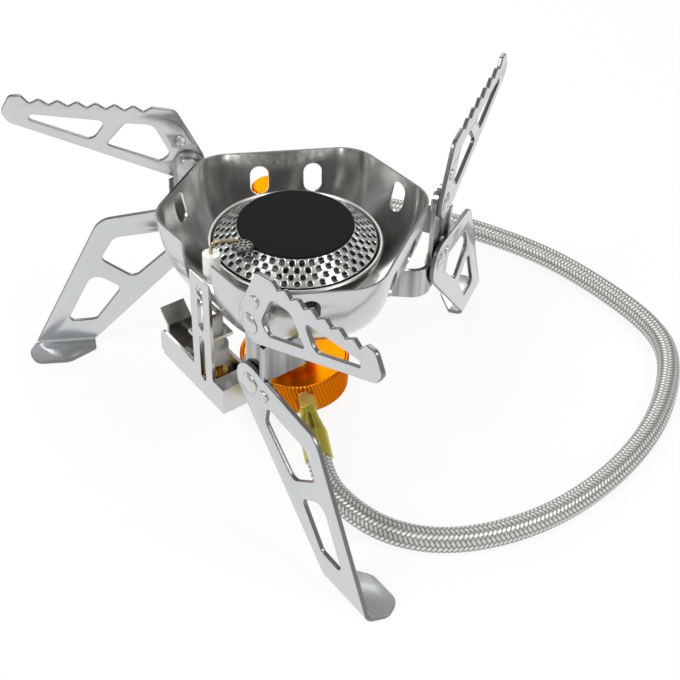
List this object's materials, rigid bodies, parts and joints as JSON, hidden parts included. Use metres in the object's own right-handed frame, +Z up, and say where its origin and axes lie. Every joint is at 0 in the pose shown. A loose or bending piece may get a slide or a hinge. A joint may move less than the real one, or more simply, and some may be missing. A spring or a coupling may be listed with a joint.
{
  "type": "folding camping gas stove",
  "caption": "Folding camping gas stove with a windshield bowl round the burner, hinged serrated pot arms and legs, a lever igniter and a braided hose to a canister valve.",
  "frame": {"origin": "on the burner axis at the level of the feet", "axes": "+Z up along the burner axis, first pot arm along -X"},
  "size_m": [0.2338, 0.2024, 0.1013],
  "materials": {
    "bowl_steel": "polished stainless sheet",
    "plate_steel": "satin stainless sheet",
    "burner_steel": "bright stainless",
    "cap_black": "matte black enamel",
    "orange_anodised": "orange anodised, turned",
    "brass": "machined",
    "rivet_steel": "bright",
    "hose_braid": "steel braid over rubber tube",
    "ferrule_metal": "dull olive plated",
    "seal_rubber": "matte",
    "piezo_plastic": "moulded",
    "ceramic_white": "glazed",
    "igniter_steel": "bent sheet"
  },
  "bodies": {
    "stove": {"windshield_bowl": "bowl_steel", "burner_pan": "burner_steel", "flame_screen": "burner_steel", "burner_cap": "cap_black", "spark_target": "burner_steel", "mixer_tube": "brass", "jet_holder": "brass", "air_collar": "orange_anodised", "inlet_nut": "brass", "hose_ferrule": "ferrule_metal", "hose": "hose_braid", "valve_ferrule": "ferrule_metal", "valve_body": "brass", "canister_collar": "orange_anodised", "collar_seal": "seal_rubber", "leg_bracket_1": "plate_steel", "leg_bracket_2": "plate_steel", "leg_bracket_3": "plate_steel", "arm_rivets": "rivet_steel", "leg_rivets": "rivet_steel", "igniter_bracket": "igniter_steel", "piezo_body": "piezo_plastic", "lever_pin": "rivet_steel", "electrode_ceramic": "ceramic_white", "electrode_wire": "rivet_steel"},
    "arm_1": {"pot_arm_1": "plate_steel"},
    "arm_2": {"pot_arm_2": "plate_steel"},
    "arm_3": {"pot_arm_3": "plate_steel"},
    "leg_1": {"folding_leg_1": "plate_steel"},
    "leg_2": {"folding_leg_2": "plate_steel"},
    "leg_3": {"folding_leg_3": "plate_steel"},
    "knob": {"valve_knob": "orange_anodised"},
    "lever": {"igniter_lever": "igniter_steel"},
    "plunger": {"piezo_plunger": "brass"}
  },
  "joints": [
    {"name": "arm_1_fold", "type": "hinge", "parent": "stove", "child": "arm_1", "pos_m": [-0.032, 0.0381, 0.0742], "axis": [0, 1, 0], "range_deg": [0, 140]},
    {"name": "arm_2_fold", "type": "hinge", "parent": "stove", "child": "arm_2", "pos_m": [0.049, 0.00866, 0.0742], "axis": [0.866, -0.5, 0], "range_deg": [0, 140]},
    {"name": "arm_3_fold", "type": "hinge", "parent": "stove", "child": "arm_3", "pos_m": [-0.017, -0.04676, 0.0742], "axis": [-0.866, -0.5, 0], "range_deg": [0, 140]},
    {"name": "leg_1_fold", "type": "hinge", "parent": "stove", "child": "leg_1", "pos_m": [-0.0314, 0.0381, 0.0512], "axis": [0, -1, 0], "range_deg": [0, 125]},
    {"name": "leg_2_fold", "type": "hinge", "parent": "stove", "child": "leg_2", "pos_m": [0.0487, 0.00814, 0.0512], "axis": [-0.866, 0.5, 0], "range_deg": [0, 96]},
    {"name": "leg_3_fold", "type": "hinge", "parent": "stove", "child": "leg_3", "pos_m": [-0.0173, -0.04624, 0.0512], "axis": [0.866, 0.5, 0], "range_deg": [0, 125]},
    {"name": "valve_turn", "type": "hinge", "parent": "stove", "child": "knob", "pos_m": [0, 0.091, 0.0265], "axis": [0, 0, 1], "range_deg": [0, 270]},
    {"name": "lever_press", "type": "hinge", "parent": "stove", "child": "lever", "pos_m": [-0.03291, -0.00399, 0.028], "axis": [-0.866, -0.5, 0], "range_deg": [0, 14]},
    {"name": "plunger_stroke", "type": "slide", "parent": "stove", "child": "plunger", "axis": [0, 0, 1], "range_m": [0, 0.0024], "stiffness_N_per_m": 60}
  ],
  "couplings": [
    {"joint": "lever_press", "follows": "plunger_stroke", "rad_per_m": 87.266}
  ]
}
